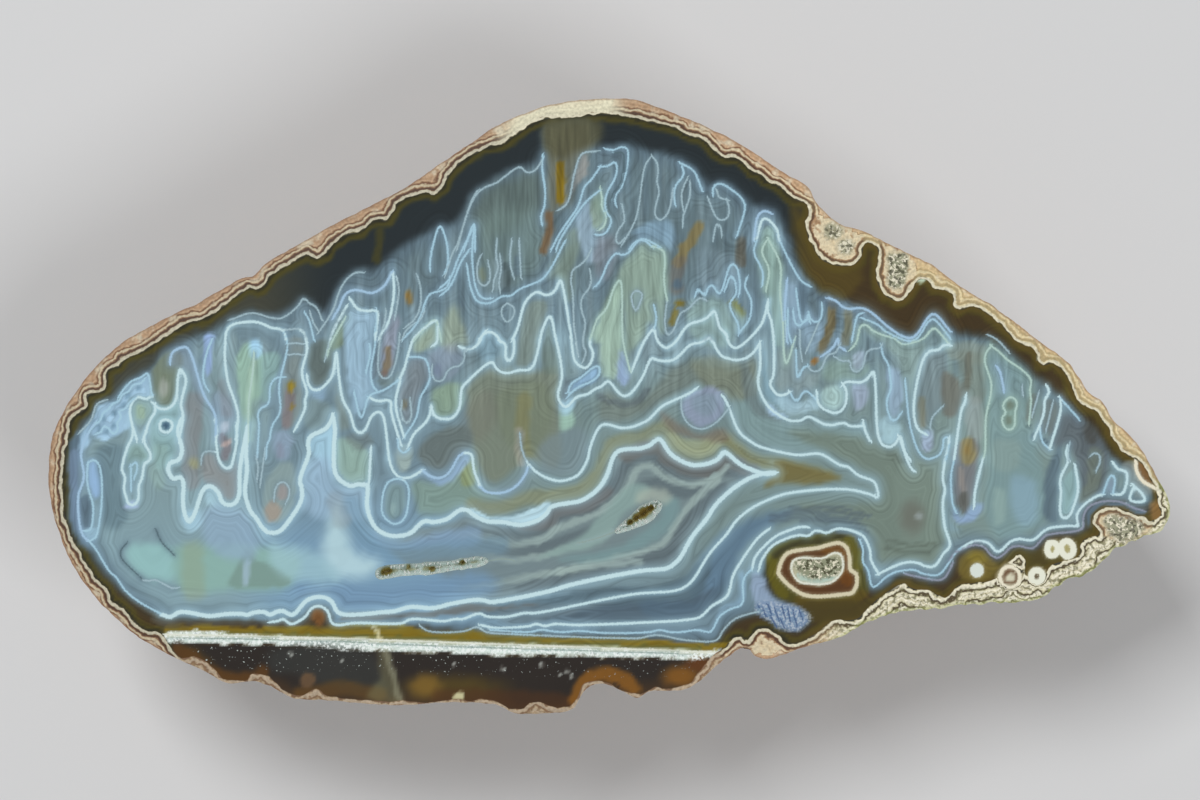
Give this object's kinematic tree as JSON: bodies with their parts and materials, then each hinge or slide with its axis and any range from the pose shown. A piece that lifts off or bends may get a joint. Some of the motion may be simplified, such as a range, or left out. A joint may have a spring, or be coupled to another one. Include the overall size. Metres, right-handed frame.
{
  "type": "agate half nodule",
  "caption": "Half of an agate nodule lying on its back: a flat polished banded face with crystal-lined pockets, and a lumpy pitted rind behind it.",
  "frame": {"origin": "centre of the small flat spot at the back of the rind, on which the stone lies", "axes": "+Z out of the polished face, +X along the face's long way to its pointed end, +Y to the face's crest"},
  "size_m": [0.134, 0.0736, 0.034],
  "materials": {
    "agate": "banded chalcedony, polished on the cut face and rough on the rind",
    "quartz": "small clear to white quartz crystals with natural flat faces"
  },
  "bodies": {
    "root": {"half_nodule": "agate", "long_pocket_crystals": "quartz", "short_pocket_crystals": "quartz"}
  },
  "joints": []
}
